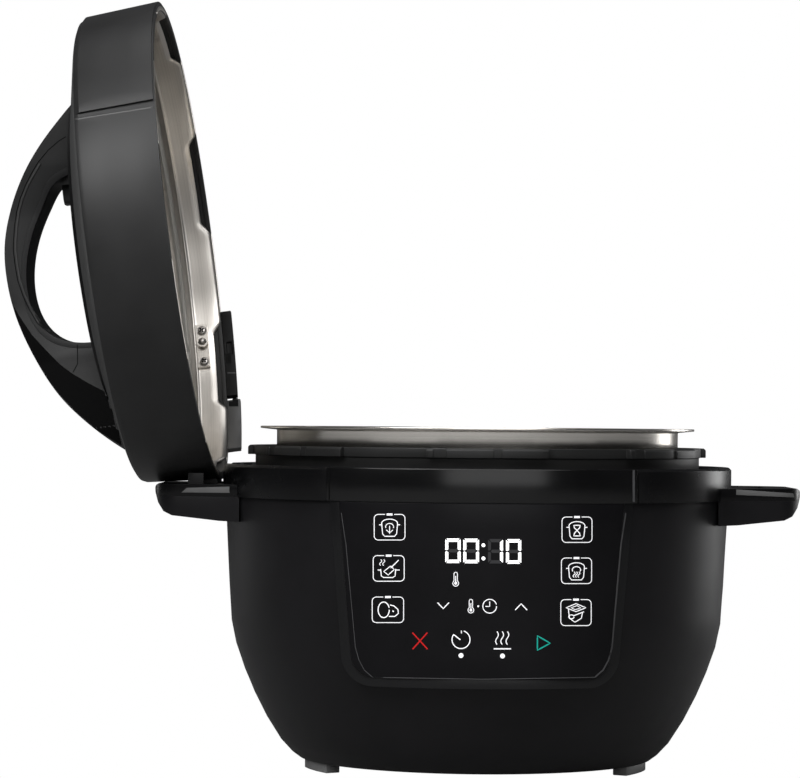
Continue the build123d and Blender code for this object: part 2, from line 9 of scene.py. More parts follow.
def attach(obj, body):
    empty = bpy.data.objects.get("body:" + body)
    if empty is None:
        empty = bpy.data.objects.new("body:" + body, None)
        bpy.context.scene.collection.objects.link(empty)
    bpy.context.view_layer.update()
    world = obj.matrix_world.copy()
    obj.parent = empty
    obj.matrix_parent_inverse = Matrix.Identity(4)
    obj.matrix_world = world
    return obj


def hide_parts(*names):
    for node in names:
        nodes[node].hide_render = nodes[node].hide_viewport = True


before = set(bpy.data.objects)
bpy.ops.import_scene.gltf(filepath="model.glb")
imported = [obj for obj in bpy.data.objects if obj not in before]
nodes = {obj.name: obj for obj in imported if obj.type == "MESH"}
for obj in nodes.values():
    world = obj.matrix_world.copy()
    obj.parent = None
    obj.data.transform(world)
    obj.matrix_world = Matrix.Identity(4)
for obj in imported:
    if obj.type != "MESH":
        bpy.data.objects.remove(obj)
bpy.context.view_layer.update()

# The pot axis and the lid's place, in metres in the row frame
AXIS_X = 0.0498
AXIS_Y = -0.0171
RIM_Z = 0.1955
PIVOT = Vector((-0.1539, 0.0, 0.1846))
LID_TURN = math.radians(-1.9)
LID_OPEN = math.radians(-97.7)
LID = (Matrix.Translation((AXIS_X, AXIS_Y, 0)) @ Matrix.Rotation(LID_TURN, 4, "Z")
       @ Matrix.Translation(PIVOT) @ Matrix.Rotation(LID_OPEN, 4, "Y")
       @ Matrix.Translation(-PIVOT) @ Matrix.Translation((0, 0, RIM_Z)))

# Face of the control panel: radius at its lower and upper edge, lower edge's height, height of the face
FACE_LOW_R = 0.1572
FACE_TOP_R = 0.1637
FACE_LOW_Z = 0.061
FACE_H = 0.1115

# Heights above a surface that keep thin overlays clear of it
SYMBOL_LIFT = 0.00014
LINE_LIFT = 0.00012

# Camera fitted to the photograph
CAM_DIST = 2.100
CAM_YAW = math.radians(1.3)
CAM_Z = 0.2212
FOCAL_PX = 3255.0
FRAME_W = 800
FRAME_H = 778
AXIS_PX = 477.5
HORIZON_PX = 420.8
ROLL = math.radians(0.5)


def camera_axes():
    """Place, right, up and forward directions of the fitted camera."""
    place = Vector((AXIS_X - CAM_DIST * math.sin(CAM_YAW), AXIS_Y - CAM_DIST * math.cos(CAM_YAW), CAM_Z))
    turn = CAM_YAW - math.atan((AXIS_PX - FRAME_W / 2) / FOCAL_PX)
    pitch = math.atan((HORIZON_PX - FRAME_H / 2) / FOCAL_PX)
    ahead = Vector((math.sin(turn) * math.cos(pitch), math.cos(turn) * math.cos(pitch), math.sin(pitch)))
    side = ahead.cross(Vector((0, 0, 1))).normalized()
    up = side.cross(ahead)
    tilted_side = side * math.cos(ROLL) + up * math.sin(ROLL)
    tilted_up = up * math.cos(ROLL) - side * math.sin(ROLL)
    return place, tilted_side, tilted_up, ahead


CAM_PLACE, CAM_SIDE, CAM_UP, CAM_AHEAD = camera_axes()


def pixel_ray(u, v):
    """Direction of the ray through a pixel of the photograph."""
    return (CAM_AHEAD * FOCAL_PX + CAM_SIDE * (u - FRAME_W / 2) - CAM_UP * (v - FRAME_H / 2)).normalized()


def face_radius(z):
    """Radius of the control overlay's face at a height."""
    return FACE_LOW_R + (FACE_TOP_R - FACE_LOW_R) * (z - FACE_LOW_Z) / FACE_H


def on_panel(u, v):
    """Point on the control overlay that shows at a pixel of the photograph."""
    ray = pixel_ray(u, v)
    t = CAM_DIST - 0.17
    for _ in range(30):
        p = CAM_PLACE + ray * t
        radius = math.hypot(p.x - AXIS_X, p.y - AXIS_Y)
        t += (radius - face_radius(p.z) - SYMBOL_LIFT) * 0.98
    return CAM_PLACE + ray * t


# Materials

def node_material(name):
    """Empty node material and its principled shader."""
    mat = bpy.data.materials.new(name)
    mat.use_nodes = True
    shader = mat.node_tree.nodes["Principled BSDF"]
    return mat, mat.node_tree, shader


def add(tree, kind, **inputs):
    """New node with some inputs set by name."""
    node = tree.nodes.new(kind)
    for key, value in inputs.items():
        node.inputs[key.replace("_", " ")].default_value = value
    return node


def plastic(name, color, rough, grain=2600.0, depth=0.05, spread=0.25, specular=0.5, coat=0.0):
    """Moulded plastic: fine grain, faint colour and roughness clouds."""
    mat, tree, shader = node_material(name)
    coord = tree.nodes.new("ShaderNodeTexCoord")
    fine = add(tree, "ShaderNodeTexNoise", Scale=grain, Detail=2.0)
    cloud = add(tree, "ShaderNodeTexNoise", Scale=22.0, Detail=4.0)
    tree.links.new(coord.outputs["Object"], fine.inputs["Vector"])
    tree.links.new(coord.outputs["Object"], cloud.inputs["Vector"])
    ramp = tree.nodes.new("ShaderNodeValToRGB")
    low = [c * (1 - spread) for c in color]
    high = [c * (1 + spread) for c in color]
    ramp.color_ramp.elements[0].position = 0.3
    ramp.color_ramp.elements[1].position = 0.7
    ramp.color_ramp.elements[0].color = (*low, 1)
    ramp.color_ramp.elements[1].color = (*high, 1)
    tree.links.new(cloud.outputs["Fac"], ramp.inputs["Fac"])
    tree.links.new(ramp.outputs["Color"], shader.inputs["Base Color"])
    span = add(tree, "ShaderNodeMapRange")
    span.inputs["To Min"].default_value = rough - 0.04
    span.inputs["To Max"].default_value = rough + 0.05
    tree.links.new(cloud.outputs["Fac"], span.inputs["Value"])
    tree.links.new(span.outputs["Result"], shader.inputs["Roughness"])
    bump = add(tree, "ShaderNodeBump", Strength=depth, Distance=0.0002)
    tree.links.new(fine.outputs["Fac"], bump.inputs["Height"])
    tree.links.new(bump.outputs["Normal"], shader.inputs["Normal"])
    shader.inputs["Specular IOR Level"].default_value = specular
    shader.inputs["Coat Weight"].default_value = coat
    shader.inputs["Coat Roughness"].default_value = 0.08
    return mat


def steel(name, color, rough, centre, axis, streak=1500.0, depth=0.12):
    """Brushed metal with fine lines that run around an axis."""
    mat, tree, shader = node_material(name)
    coord = tree.nodes.new("ShaderNodeTexCoord")
    shift = tree.nodes.new("ShaderNodeVectorMath")
    shift.operation = "SUBTRACT"
    shift.inputs[1].default_value = centre
    tree.links.new(coord.outputs["Object"], shift.inputs[0])
    along = tree.nodes.new("ShaderNodeVectorMath")
    along.operation = "DOT_PRODUCT"
    along.inputs[1].default_value = axis
    tree.links.new(shift.outputs["Vector"], along.inputs[0])
    reach = tree.nodes.new("ShaderNodeVectorMath")
    reach.operation = "LENGTH"
    tree.links.new(shift.outputs["Vector"], reach.inputs[0])
    both = tree.nodes.new("ShaderNodeCombineXYZ")
    tree.links.new(along.outputs["Value"], both.inputs["X"])
    tree.links.new(reach.outputs["Value"], both.inputs["Y"])
    lines = add(tree, "ShaderNodeTexNoise", Scale=streak, Detail=3.0)
    tree.links.new(both.outputs["Vector"], lines.inputs["Vector"])
    cloud = add(tree, "ShaderNodeTexNoise", Scale=14.0, Detail=3.0)
    tree.links.new(coord.outputs["Object"], cloud.inputs["Vector"])
    ramp = tree.nodes.new("ShaderNodeValToRGB")
    ramp.color_ramp.elements[0].position = 0.25
    ramp.color_ramp.elements[1].position = 0.75
    ramp.color_ramp.elements[0].color = (*[c * 0.86 for c in color], 1)
    ramp.color_ramp.elements[1].color = (*[min(1, c * 1.1) for c in color], 1)
    tree.links.new(lines.outputs["Fac"], ramp.inputs["Fac"])
    tree.links.new(ramp.outputs["Color"], shader.inputs["Base Color"])
    span = add(tree, "ShaderNodeMapRange")
    span.inputs["To Min"].default_value = rough - 0.06
    span.inputs["To Max"].default_value = rough + 0.08
    tree.links.new(cloud.outputs["Fac"], span.inputs["Value"])
    tree.links.new(span.outputs["Result"], shader.inputs["Roughness"])
    bump = add(tree, "ShaderNodeBump", Strength=depth, Distance=0.0001)
    tree.links.new(lines.outputs["Fac"], bump.inputs["Height"])
    tree.links.new(bump.outputs["Normal"], shader.inputs["Normal"])
    shader.inputs["Metallic"].default_value = 1.0
    return mat


def glow(name, color, strength):
    """Lit symbol behind the overlay, with a faint unevenness."""
    mat, tree, shader = node_material(name)
    coord = tree.nodes.new("ShaderNodeTexCoord")
    noise = add(tree, "ShaderNodeTexNoise", Scale=900.0, Detail=1.0)
    tree.links.new(coord.outputs["Object"], noise.inputs["Vector"])
    ramp = tree.nodes.new("ShaderNodeValToRGB")
    ramp.color_ramp.elements[0].color = (*[c * 0.9 for c in color], 1)
    ramp.color_ramp.elements[1].color = (*color, 1)
    tree.links.new(noise.outputs["Fac"], ramp.inputs["Fac"])
    tree.links.new(ramp.outputs["Color"], shader.inputs["Emission Color"])
    tree.links.new(ramp.outputs["Color"], shader.inputs["Base Color"])
    shader.inputs["Emission Strength"].default_value = strength
    shader.inputs["Roughness"].default_value = 0.4
    return mat


POT_CENTRE = (AXIS_X, AXIS_Y, 0.12)
LID_CENTRE = tuple(LID @ Vector((0, 0, 0.02)))
LID_AXIS = tuple(LID.to_3x3() @ Vector((0, 0, 1)))
UP = (0, 0, 1)
MATERIALS = {
    "black": plastic("satin_black", (0.0066, 0.0063, 0.0072), 0.42, specular=0.22),
    "lid_black": plastic("lid_black", (0.0145, 0.0145, 0.0147), 0.44, specular=0.34),
    "crown_black": plastic("crown_black", (0.0045, 0.0045, 0.0047), 0.48, specular=0.14),
    "rim_black": plastic("rim_black", (0.0034, 0.0034, 0.0038), 0.27, specular=0.24),
    "collar_black": plastic("collar_black", (0.012, 0.012, 0.012), 0.42, specular=0.35),
    "gloss": plastic("gloss_black", (0.0026, 0.0026, 0.0028), 0.2, depth=0.01, specular=0.42),
    "overlay": plastic("overlay_black", (0.0045, 0.0043, 0.0052), 0.34, depth=0.01, specular=0.16),
    "bezel": plastic("bezel_black", (0.0050, 0.0050, 0.0056), 0.3, specular=0.35),
    "grip": plastic("grip_black", (0.0065, 0.0065, 0.0068), 0.5, grain=1800.0, depth=0.12, specular=0.35),
    "pot_steel": steel("pot_steel", (0.86, 0.825, 0.77), 0.22, POT_CENTRE, UP),
    "lid_steel": steel("lid_steel", (0.72, 0.685, 0.64), 0.3, LID_CENTRE, LID_AXIS),
    "fastener": steel("fastener_steel", (0.42, 0.40, 0.38), 0.3, POT_CENTRE, UP),
    "aluminium": steel("cast_aluminium", (0.76, 0.76, 0.77), 0.42, POT_CENTRE, UP, streak=700.0),
    "element": steel("element_steel", (0.28, 0.26, 0.25), 0.5, POT_CENTRE, UP),
    "silicone": plastic("silicone", (0.5, 0.49, 0.46), 0.4, depth=0.1, spread=0.05),
    "rubber": plastic("foot_rubber", (0.2, 0.2, 0.2), 0.5, depth=0.2),
    "board": plastic("circuit_board", (0.02, 0.12, 0.05), 0.45, grain=900.0, depth=0.2),
    "parts": plastic("board_parts", (0.07, 0.07, 0.08), 0.5),
    "cup": plastic("cup_plastic", (0.07, 0.07, 0.075), 0.2, coat=0.3),
    "grey": plastic("grey_plastic", (0.06, 0.06, 0.06), 0.35),
    "slot": plastic("slot_shadow", (0.0015, 0.0015, 0.0015), 0.6, specular=0.1),
    # Lighter black for the handle lip and the lid step: painted highlight
    "lip": plastic("painted_lip_highlight", (0.034, 0.034, 0.034), 0.36, specular=0.5),
    # Near-black with almost no gloss for the handle's underside: painted shade
    "shade_paint": plastic("painted_facet_shade", (0.0014, 0.0014, 0.0015), 0.55, specular=0.04),
    # Grey for the lit strips along the handle caps: painted highlight
    "strip": plastic("painted_cap_highlight", (0.115, 0.115, 0.115), 0.4, specular=0.5),
    # Grey for lit edges on the panel, the front band and the skirt: painted highlight
    "highlight_paint": plastic("painted_edge_highlight", (0.06, 0.06, 0.063), 0.3, specular=0.5),
}
MATERIALS["silicone"].node_tree.nodes["Principled BSDF"].inputs["Transmission Weight"].default_value = 0.6
MATERIALS["silicone"].node_tree.nodes["Principled BSDF"].inputs["IOR"].default_value = 1.41
LOOKS = {
    "black": ["outer_housing", "left_handle", "right_handle", "bottom_cover", "cup_bracket", "inlet_socket"],
    "crown_black": ["lid_crown", "lid_skirt"],
    "rim_black": ["top_ring", "left_handle_cap", "right_handle_cap", "sensor_holder", "display_module"],
    "collar_black": ["locking_collar"],
    "lid_black": ["lid_ring", "arch_handle", "release_button", "valve_cap"],
    "gloss": ["front_band"],
    "overlay": ["control_overlay"],
    "bezel": ["control_bezel"],
    "grip": ["handle_grip"],
    "pot_steel": ["inner_pot"],
    "lid_steel": ["steel_liner", "ring_rack", "pin_bracket", "pipe_shield", "steam_pipe", "float_housing",
                  "float_pin", "lock_pin"],
    "fastener": ["cover_screws", "left_handle_screws", "right_handle_screws", "crown_screws",
                 "bracket_screws", "sensor_spring", "inlet_pins", "plate_spacers"],
    "aluminium": ["outer_pot", "heating_plate", "sensor_cup", "thermal_cutout"],
    "element": ["heating_element"],
    "silicone": ["sealing_ring", "float_seal"],
    "rubber": ["feet"],
    "board": ["control_board", "power_board"],
    "parts": ["board_parts"],
    "cup": ["condensation_cup"],
    "grey": ["skirt_post"],
}
ROUNDED = {
    "outer_housing": 0.8, "top_ring": 0.7, "front_band": 0.5, "control_bezel": 1.1, "control_overlay": 0.6,
    "left_handle": 2.6, "right_handle": 2.6, "left_handle_cap": 1.8, "right_handle_cap": 1.8,
    "locking_collar": 0.5, "inner_pot": 0.35, "lid_ring": 0.9, "lid_crown": 0.8, "arch_handle": 2.2,
    "handle_grip": 1.4, "steel_liner": 0.3, "lid_skirt": 0.5, "skirt_post": 0.4, "release_button": 0.9,
    "valve_cap": 1.2, "condensation_cup": 0.8, "inlet_socket": 0.5, "feet": 0.6,
}


def finish_node(name, material):
    """Material, welded faces, small edge rounds and smooth shading on a CAD node."""
    obj = nodes[name]
    obj.data.materials.clear()
    obj.data.materials.append(material)
    for poly in obj.data.polygons:
        poly.use_smooth = True
    weld = obj.modifiers.new("weld", "WELD")
    weld.merge_threshold = 0.00001
    if name in ROUNDED:
        bevel = obj.modifiers.new("round", "BEVEL")
        bevel.width = ROUNDED[name] / 1000
        bevel.segments = 3
        bevel.limit_method = "ANGLE"
        bevel.angle_limit = math.radians(32)
        bevel.use_clamp_overlap = True
        bevel.harden_normals = False
    smooth = obj.modifiers.new("edges", "EDGE_SPLIT")
    smooth.split_angle = math.radians(30)


for look, members in LOOKS.items():
    for member in members:
        finish_node(member, MATERIALS[look])


# Steel liner of the lid, pressed with notches along its rim: angles in degrees, notch depth in millimetres

NOTCH_FIRST = 19.5
NOTCH_PITCH = 360 / 7
NOTCH_HALF = 10.2
NOTCH_RAMP = 3.8
NOTCH_DEPTH = 6.2
PIN_ANGLE = 114.8
PIN_Z = 0.0135
SCREW_R = 0.1462
LATHE_STEPS = 720
DOME_STEPS = 32


def smooth_step(t):
    """Zero to one with flat ends."""
    t = min(max(t, 0.0), 1.0)
    return t * t * (3 - 2 * t)


def notch(angle):
    """Share of the full notch depth at an angle of the rim."""
    off = abs((angle - NOTCH_FIRST + NOTCH_PITCH / 2) % NOTCH_PITCH - NOTCH_PITCH / 2)
    return 1 - smooth_step((off - NOTCH_HALF) / NOTCH_RAMP)


def lathe(name, profile, material, body):
    """Surface of revolution about the lid axis from a profile that may change with the angle."""
    bm = bmesh.new()
    rings = []
    for i in range(LATHE_STEPS):
        angle = 360 * i / LATHE_STEPS
        a = math.radians(angle)
        rings.append([bm.verts.new(LID @ Vector((r * math.cos(a), r * math.sin(a), z)))
                      for r, z in profile(angle)])
    for i in range(LATHE_STEPS):
        a, b = rings[i], rings[(i + 1) % LATHE_STEPS]
        for j in range(len(a) - 1):
            bm.faces.new((a[j], b[j], b[j + 1], a[j + 1]))
    bmesh.ops.remove_doubles(bm, verts=bm.verts, dist=0.00001)
    bmesh.ops.recalc_face_normals(bm, faces=bm.faces)
    return piece(name, bm, material, body)


def piece(name, bm, material, body, smooth=True):
    """Finished object from a bmesh, riding on a body."""
    mesh = bpy.data.meshes.new(name)
    bm.to_mesh(mesh)
    bm.free()
    for poly in mesh.polygons:
        poly.use_smooth = smooth
    mesh.materials.append(material)
    obj = bpy.data.objects.new(name, mesh)
    bpy.context.scene.collection.objects.link(obj)
    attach(obj, body)
    return obj


def liner_profile(angle):
    """Half section of the pressed liner, from its rim to the middle."""
    n = notch(angle)
    edge = NOTCH_DEPTH * n
    rows = [(152.9 - 3.1 * n, 0.9 + edge - 0.6 * n), (153.1 - 3.5 * n, 0.1 + edge),
            (152.2 - 2.6 * n, -0.35 + edge), (150.6 - 1.1 * n, -0.25 + edge), (149.3, 0.8 + edge),
            (148.9, 2.6 + edge * 0.9), (148.7, 5.0 + edge * 0.7), (148.6, 9.0 + edge * 0.3), (148.5, 17.0),
            (148.4, 17.9), (147.7, 18.5), (147.5, 19.1), (147.8, 19.8), (148.1, 20.6), (147.9, 25.5),
            (147.0, 30.2), (146.0, 32.2), (144.2, 33.6), (141.0, 34.4), (120, 37.0), (101, 38.8),
            (99.2, 39.6), (96, 40.4), (60, 41.9), (24, 43.2), (0.001, 43.4)]
    return [(r / 1000, z / 1000) for r, z in rows]


liner = lathe("liner_shell", liner_profile, MATERIALS["lid_steel"], "lid")
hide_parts("steel_liner")


def lid_frame(angle, z, r):
    """Matrix of a place on the liner's wall: local z points to the lid axis, local x up the wall."""
    a = math.radians(angle)
    inward = Vector((-math.cos(a), -math.sin(a), 0))
    up = Vector((0, 0, 1))
    across = inward.cross(up)
    turn = Matrix((up, across, inward)).transposed().to_4x4()
    return LID @ Matrix.Translation((r * math.cos(a), r * math.sin(a), z)) @ turn


def dome(bm, place, outline):
    """Turned button on a wall from (radius, height) points, outside to middle."""
    rings = []
    for i in range(DOME_STEPS):
        a = 2 * math.pi * i / DOME_STEPS
        rings.append([bm.verts.new(place @ Vector((r * math.cos(a), r * math.sin(a), h)))
                      for r, h in outline])
    for i in range(DOME_STEPS):
        a, b = rings[i], rings[(i + 1) % DOME_STEPS]
        for j in range(len(outline) - 1):
            bm.faces.new((a[j], b[j], b[j + 1], a[j + 1]))


def cross_slot(bm, place, length, width, top, depth, taper):
    """Tapered cross of a screw drive, as two dark sunk troughs."""
    for turn in (35, 125):
        a = math.radians(turn)
        along = Vector((math.cos(a), math.sin(a), 0))
        side = Vector((-math.sin(a), math.cos(a), 0))
        rim = [place @ (along * sx * length + side * sy * width + Vector((0, 0, top)))
               for sx, sy in ((-1, -1), (1, -1), (1, 1), (-1, 1))]
        low = [place @ (along * sx * length * taper + side * sy * width * taper + Vector((0, 0, top - depth)))
               for sx, sy in ((-1, -1), (1, -1), (1, 1), (-1, 1))]
        rim = [bm.verts.new(v) for v in rim]
        low = [bm.verts.new(v) for v in low]
        for i in range(4):
            bm.faces.new((rim[i], rim[(i + 1) % 4], low[(i + 1) % 4], low[i]))
        bm.faces.new(low)


# Half sections in metres, as (radius, height)
SCREW_HEAD = [(0.0037, -0.0006), (0.0036, 0.0003), (0.0033, 0.0004), (0.0031, -0.0001), (0.0030, 0.0002),
              (0.0028, 0.0010), (0.0023, 0.0014), (0.0012, 0.0016), (0.00001, 0.0017)]
PIN_TIP = [(0.0028, -0.0004), (0.0029, 0.0002), (0.0027, 0.0006), (0.0022, 0.0007), (0.0021, 0.0012),
           (0.0017, 0.0018), (0.0009, 0.0022), (0.00001, 0.0023)]
# Half length, half width, height, depth and taper of a screw's cross slot
SCREW_SLOT = (0.0020, 0.00055, 0.00185, 0.0002, 0.35)
# Angles of the two screws from the lock pin
SCREW_TURNS = (-3.8, 5.6)

heads, slots = bmesh.new(), bmesh.new()
for turn in SCREW_TURNS:
    seat = lid_frame(PIN_ANGLE + turn, PIN_Z, SCREW_R)
    dome(heads, seat, SCREW_HEAD)
    cross_slot(slots, seat, *SCREW_SLOT)
bmesh.ops.recalc_face_normals(heads, faces=heads.faces)
screws = piece("bracket_screw_heads", heads, MATERIALS["fastener"], "lid")
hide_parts("bracket_screws")

# Rounded tip on the lock pin's inner end
to_lid = LID.inverted()
pin_end = min(math.hypot(*(to_lid @ v.co).xy) for v in nodes["lock_pin"].data.vertices)
tip = bmesh.new()
dome(tip, lid_frame(PIN_ANGLE, PIN_Z, pin_end + 0.0002), PIN_TIP)
bmesh.ops.recalc_face_normals(tip, faces=tip.faces)
piece("lock_pin_tip", tip, MATERIALS["fastener"], "lock_pin")

# Dark troughs of the two screws
piece("bracket_screw_slots", slots, MATERIALS["slot"], "lid", smooth=False)


# Symbols on the control panel, drawn as ribbons on the overlay's face

# Drawn share of a stroke's nominal width
STROKE = 0.82


def follow(points, closed):
    """The same pixel line with no run longer than three pixels."""
    fine = []
    ends = points[1:] + points[:1] if closed else points[1:]
    for (u0, v0), (u1, v1) in zip(points, ends):
        steps = max(1, math.ceil(math.hypot(u1 - u0, v1 - v0) / 3))
        fine += [(u0 + (u1 - u0) * i / steps, v0 + (v1 - v0) * i / steps) for i in range(steps)]
    return fine if closed else fine + [points[-1]]


def ribbon(bm, points, width, closed=False):
    """Flat ribbon of a pixel width along pixel points."""
    points = follow(points, closed)
    count = len(points)
    pairs = []
    for i, (u, v) in enumerate(points):
        before = points[(i - 1) % count] if closed or i > 0 else points[i]
        after = points[(i + 1) % count] if closed or i < count - 1 else points[i]
        du, dv = after[0] - before[0], after[1] - before[1]
        length = math.hypot(du, dv) or 1.0
        nu, nv = -dv / length * width * STROKE / 2, du / length * width * STROKE / 2
        pairs.append((bm.verts.new(on_panel(u + nu, v + nv)), bm.verts.new(on_panel(u - nu, v - nv))))
    last = count if closed else count - 1
    for i in range(last):
        a, b = pairs[i], pairs[(i + 1) % count]
        bm.faces.new((a[0], b[0], b[1], a[1]))


def filled(bm, points):
    """Filled pixel outline."""
    bm.faces.new([bm.verts.new(on_panel(u, v)) for u, v in points])


def arc(cu, cv, ru, rv, start, end, steps=14):
    """Pixel points along an elliptic arc, degrees clockwise from three o'clock."""
    return [(cu + ru * math.cos(math.radians(start + (end - start) * i / steps)),
             cv + rv * math.sin(math.radians(start + (end - start) * i / steps))) for i in range(steps + 1)]


def rounded_frame(u0, v0, u1, v1, r):
    """Open outline of an icon square with a gap in the middle of its top."""
    mid = (u0 + u1) / 2
    points = [(mid + 4.6, v0)]
    points += arc(u1 - r, v0 + r, r, r, -90, 0, 6) + arc(u1 - r, v1 - r, r, r, 0, 90, 6)
    points += arc(u0 + r, v1 - r, r, r, 90, 180, 6) + arc(u0 + r, v0 + r, r, r, 180, 270, 6)
    points.append((mid - 4.6, v0))
    return points


def symbol(name, material, lines=(), fills=()):
    """One object of ribbons and filled outlines."""
    bm = bmesh.new()
    for points, width, *closed in lines:
        ribbon(bm, points, width, bool(closed))
    for points in fills:
        filled(bm, points)
    bmesh.ops.recalc_face_normals(bm, faces=bm.faces)
    return piece(name, bm, material, "base", smooth=False)


WHITE = glow("symbol_white", (0.78, 0.78, 0.80), 0.72)
BRIGHT = glow("digit_white", (1.0, 1.0, 1.0), 1.1)
GHOST = glow("digit_ghost", (0.02, 0.02, 0.022), 0.3)
RED = glow("symbol_red", (0.36, 0.002, 0.002), 0.8)
GREEN = glow("symbol_green", (0.0, 0.24, 0.19), 0.8)
ICON_BOXES = {
    "icon_a": (374.2, 514.4, 405.0, 540.0), "icon_b": (373.2, 555.6, 404.2, 581.2),
    "icon_c": (372.2, 597.0, 403.6, 622.6), "icon_d": (562.0, 517.0, 592.0, 542.4),
    "icon_e": (561.4, 558.0, 591.6, 583.6), "icon_f": (560.8, 599.6, 591.2, 625.6),
}


def pot_outline(cu, cv):
    """Small cooking pot with side handles and a curved lid."""
    body = [(cu + x, cv + y) for x, y in ((-8, -5), (-7, 6), (-5, 8.5), (5, 8.5), (7, 6), (8, -5))]
    lid = arc(cu, cv - 4.5, 8, 4.2, 180, 360, 10)
    left = [(cu - 10.5, cv - 3), (cu - 8, cv - 3)]
    right = [(cu + 8, cv - 3), (cu + 10.5, cv - 3)]
    return [(body, 1.1), (lid, 1.1), (left, 1.1), (right, 1.1)]


def wave(cu, v0, v1, size=1.1):
    """Rising steam line."""
    return [(cu + size * math.sin(i / 10 * 2 * math.pi), v0 + (v1 - v0) * i / 10) for i in range(11)]


def icon(name, box):
    """Touch symbol with its own little picture."""
    u0, v0, u1, v1 = box
    cu, cv = (u0 + u1) / 2, (v0 + v1) / 2 + 0.6

    def line(width, *points, closed=()):
        """Line given by offsets from the middle of the symbol."""
        return ([(cu + x, cv + y) for x, y in points], width, *closed)

    lines = [(rounded_frame(u0, v0, u1, v1, 4), 0.95)]
    fills = [[(cu - 2.9, v0 - 1.0), (cu + 2.9, v0 - 1.0), (cu + 2.9, v0 + 1.1), (cu - 2.9, v0 + 1.1)]]
    if name == "icon_a":
        lines += pot_outline(cu, cv)
        lines += [(arc(cu, cv - 1, 4, 3.4, 160, 380, 12), 1.0), line(1.0, (0, -2), (0, 6)),
                  line(1.0, (-3.4, 2), (0, 5), (3.4, 2))]
    if name == "icon_b":
        lines += [line(1.1, (-8, 0), (-7.4, 7), (-5, 8.5), (4, 8.5), (6.4, 7), (7, 0)),
                  line(1.1, (-11, 1), (-8, 1)), line(1.1, (7, 1), (11, 1)), line(1.2, (10, -9), (2, -1)),
                  line(1.1, (2, -3), (5.5, 0.5), (-0.5, 6), (-5, 2.5), closed=(True,)),
                  (wave(cu - 8, cv - 9.5, cv - 3.5), 0.9), (wave(cu - 5, cv - 9.5, cv - 3.5), 0.9)]
    if name == "icon_c":
        lines += [(arc(cu - 4.2, cv - 0.6, 5.6, 7.8, 0, 345, 24), 1.2),
                  line(1.2, (2, -5.5), (6, -4.5), (10, -1), (10.5, 3), (7, 6), (1, 6)),
                  line(1.6, (4.5, 0.5), (6, 1.2))]
    if name == "icon_d":
        lines += pot_outline(cu, cv)
        lines += [line(1.3, (-3.2, -5), (3.2, -5), (2.6, -2.4), (0, 0), (2.6, 3), (3.2, 5.6), (-3.2, 5.6),
                       (-2.6, 3), (0, 0), (-2.6, -2.4), closed=(True,))]
    if name == "icon_e":
        lines += pot_outline(cu, cv)
        lines += [(arc(cu, cv - 1.6, 4.2, 3.2, 150, 390, 12), 1.1), (wave(cu - 2.4, cv + 0.4, cv + 6), 1.0),
                  (wave(cu, cv + 0.4, cv + 6), 1.0), (wave(cu + 2.4, cv + 0.4, cv + 6), 1.0)]
    if name == "icon_f":
        lines += [line(1.1, (-10, -5.4), (0, -9.6), (10, -5.4), (0, -1.6), closed=(True,)),
                  line(0.9, (-5, -5.4), (1, -7.6), (5, -5.2), (-1, -3.6), closed=(True,)),
                  line(1.1, (-7.6, -4), (-6.6, 5), (-1, 9), (5.4, 5), (6.6, -1)),
                  (arc(cu - 4.6, cv + 3.6, 2.7, 2.0, 0, 345, 10), 1.2), line(1.2, (-2, 2.4), (8, -1.5))]
    symbol(name, WHITE, lines, fills)


for icon_name, icon_box in ICON_BOXES.items():
    icon(icon_name, icon_box)

SEGMENTS = {"0": "abcdef", "1": "bc", "8": "abcdefg"}
SEGMENT_W = 3.3


def digit(u0, v0, u1, v1, lit):
    """Fills of a seven-segment digit, as (lit outlines, unlit outlines)."""
    w, mid = SEGMENT_W, (v0 + v1) / 2
    left, right = u0 + w * 0.9, u1 - w * 0.9
    shapes = {
        "a": [(u0 + 1.2, v0), (u1 - 1.2, v0), (u1 - w, v0 + w), (u0 + w, v0 + w)],
        "d": [(u0 + w, v1 - w), (u1 - w, v1 - w), (u1 - 1.2, v1), (u0 + 1.2, v1)],
        "g": [(u0 + w * 0.8, mid), (u0 + w * 1.3, mid - w / 2), (u1 - w * 1.3, mid - w / 2),
              (u1 - w * 0.8, mid), (u1 - w * 1.3, mid + w / 2), (u0 + w * 1.3, mid + w / 2)],
        "f": [(u0, v0 + 0.8), (left, v0 + w), (left, mid - 1.4), (u0 + w / 3, mid - 0.5), (u0, mid - 1)],
        "e": [(u0, mid + 1), (u0 + w / 3, mid + 0.5), (left, mid + 1.4), (left, v1 - w), (u0, v1 - 0.8)],
        "b": [(right, v0 + w), (u1, v0 + 0.8), (u1, mid - 1), (u1 - w / 3, mid - 0.5), (right, mid - 1.4)],
        "c": [(right, mid + 1.4), (u1 - w / 3, mid + 0.5), (u1, mid + 1), (u1, v1 - 0.8), (right, v1 - w)],
    }
    on = [shapes[k] for k in SEGMENTS[lit]]
    off = [shapes[k] for k in SEGMENTS["8"] if k not in SEGMENTS[lit]]
    return on, off


lit_shapes, dim_shapes = [], []
for limits, figure in (((445.3, 538.5, 460.7, 563.0), "0"), ((463.3, 538.7, 479.0, 563.2), "0"),
                       ((488.0, 539.0, 503.0, 563.5), "1"), ((506.0, 539.2, 521.2, 563.7), "0")):
    lit, dim = digit(*limits, figure)
    lit_shapes += lit
    dim_shapes += dim
for v in (545.2, 558.4):
    lit_shapes.append(arc(483.4, v, 1.9, 1.9, 0, 330, 11))
symbol("display_digits", BRIGHT, (), lit_shapes)
symbol("display_unlit", GHOST, (), dim_shapes)


def thermometer(cu, v0, v1):
    """Closed outline of a thermometer with its bulb at the lower end."""
    return arc(cu, v0 + 1.7, 1.7, 1.7, 180, 360, 8) + arc(cu, v1 - 2.9, 2.9, 2.9, -55, 235, 16)


